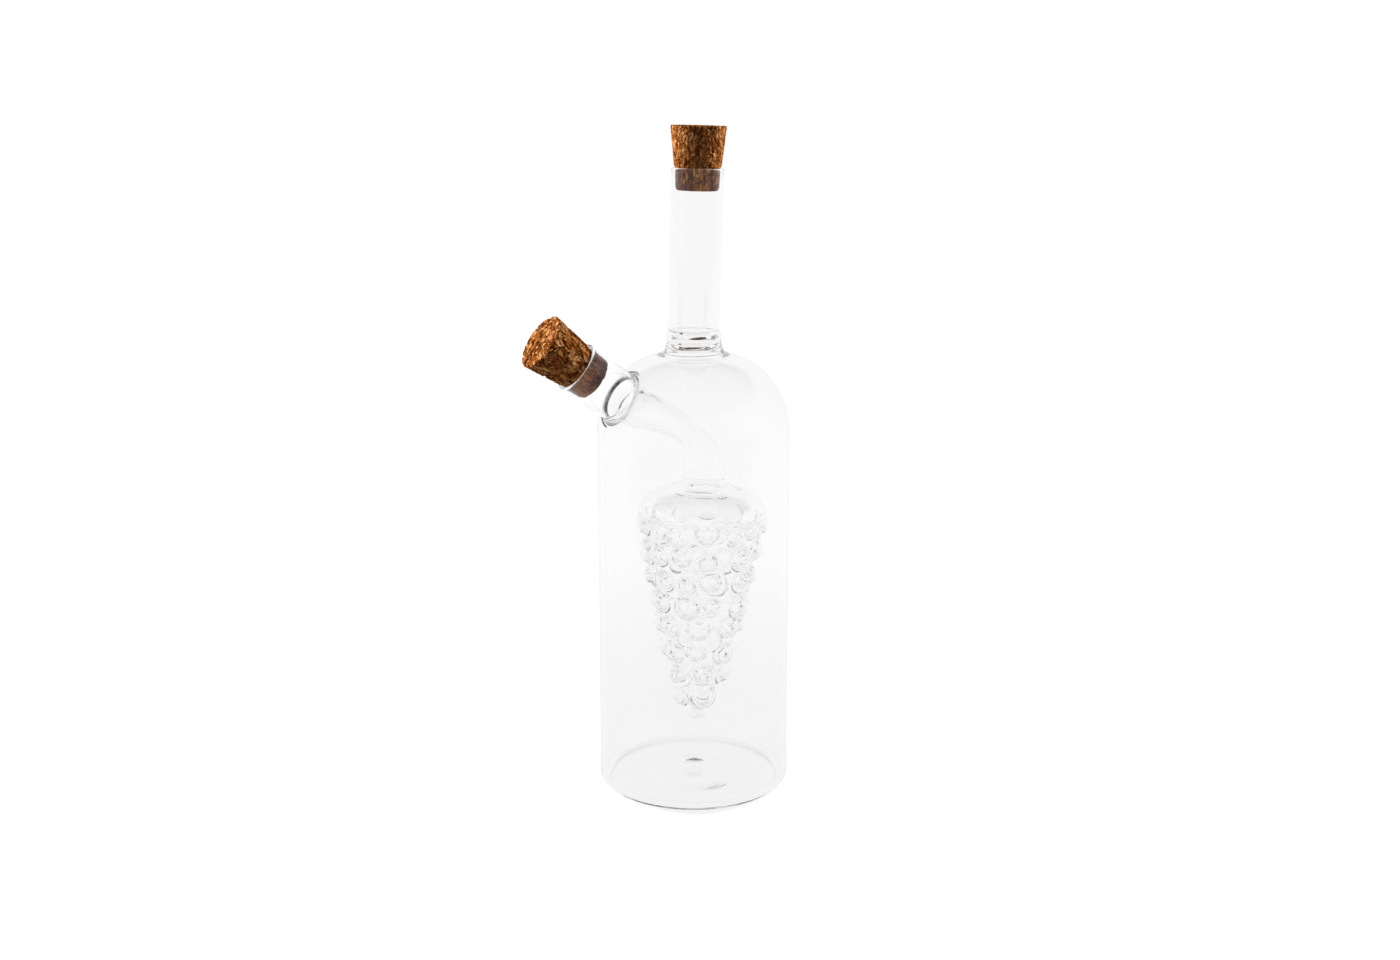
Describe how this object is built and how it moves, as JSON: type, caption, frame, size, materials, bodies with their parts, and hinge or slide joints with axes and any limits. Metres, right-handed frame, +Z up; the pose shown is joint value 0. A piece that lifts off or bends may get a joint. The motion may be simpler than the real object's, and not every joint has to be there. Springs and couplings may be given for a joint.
{
  "type": "oil and vinegar bottle",
  "caption": "Clear blown-glass bottle for oil with an inner grape-bunch vessel for vinegar, a slanted side spout and cork stoppers.",
  "frame": {"origin": "centre of the flat underside, on the bottle's upright axis", "axes": "+Z up along the bottle; -X is the side the spout leans out to; +Y completes the right-handed frame"},
  "size_m": [0.1143, 0.08, 0.2771],
  "materials": {
    "glass": "clear, colourless, fire-polished borosilicate glass, faintly uneven where it was blown and joined",
    "cork": "dull brown pressed cork with fine light and dark granules and small pits"
  },
  "bodies": {
    "bottle": {"body_shell": "glass", "neck_collar": "glass", "neck_tube": "glass", "spout_ring_seal": "glass", "spout_tube": "glass", "feed_tube": "glass", "vessel_collar": "glass", "grape_vessel": "glass"},
    "neck_stopper": {"neck_cork": "cork"},
    "spout_stopper": {"spout_cork": "cork"}
  },
  "joints": [
    {"name": "neck_cork_pull", "type": "slide", "parent": "bottle", "child": "neck_stopper", "axis": [0.0279, 0, 0.9996], "range_m": [0, 0.04]},
    {"name": "spout_cork_pull", "type": "slide", "parent": "bottle", "child": "spout_stopper", "axis": [-0.7986, 0, 0.6018], "range_m": [0, 0.04]}
  ]
}
